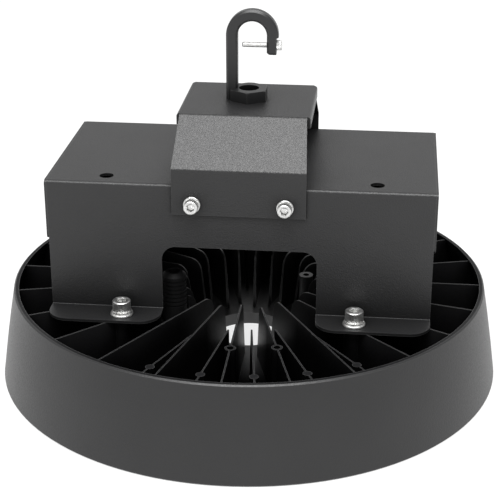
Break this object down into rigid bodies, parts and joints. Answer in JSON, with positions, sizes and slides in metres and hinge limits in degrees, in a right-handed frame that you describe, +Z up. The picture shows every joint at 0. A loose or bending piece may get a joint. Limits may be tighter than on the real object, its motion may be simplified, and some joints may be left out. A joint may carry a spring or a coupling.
{
  "type": "high bay light",
  "caption": "Round finned cast-aluminium high bay light with a folded driver box and a suspension hook on a saddle bracket.",
  "frame": {"origin": "centre of the ring's bottom edge, where the light stands when set down", "axes": "+Z up along the light's axis towards the hook, +X along the driver box, -Y the side with the two holes in the box's top"},
  "size_m": [0.3724, 0.3724, 0.2713],
  "materials": {
    "cast_black": "fine textured black powder coat on die-cast aluminium",
    "sheet_black": "fine textured black powder coat on folded steel sheet",
    "hook_black": "satin black coat on a cast steel hook",
    "zinc": "bright zinc plate",
    "driver_metal": "satin anodised extrusion",
    "black_plastic": "matte moulded nylon",
    "white_plastic": "matte moulded polyamide",
    "black_rubber": "matte",
    "silicone": "matte grey silicone",
    "lead_sheath": "satin sheath",
    "board_white": "white solder mask on an aluminium board",
    "led_phosphor": "matte yellow phosphor",
    "clear_lens": "clear moulded polycarbonate"
  },
  "bodies": {
    "root": {"heat_sink": "cast_black", "driver_cover": "sheet_black", "driver_tray": "sheet_black", "saddle": "sheet_black", "hook": "hook_black", "hook_lock_nut": "zinc", "hook_safety_screw": "zinc", "saddle_screws": "zinc", "saddle_washers": "zinc", "saddle_nuts": "zinc", "foot_screws": "zinc", "foot_lock_washers": "zinc", "foot_washers": "zinc", "tray_screws": "zinc", "driver_case": "driver_metal", "driver_caps": "black_plastic", "driver_screws": "zinc", "driver_input_lead": "lead_sheath", "terminal_block": "white_plastic", "terminal_screws": "zinc", "earth_screw": "zinc", "mains_grommet": "black_rubber", "lead_grommet": "black_rubber", "lead_gland_body": "black_plastic", "lead_gland_seal": "black_rubber", "lead_gland_cap": "black_plastic", "led_board": "board_white", "led_chips": "led_phosphor", "board_screws": "zinc", "lens_cover": "clear_lens", "lens_screws": "zinc", "lens_gasket_outer": "silicone", "lens_gasket_inner": "silicone"}
  },
  "joints": []
}
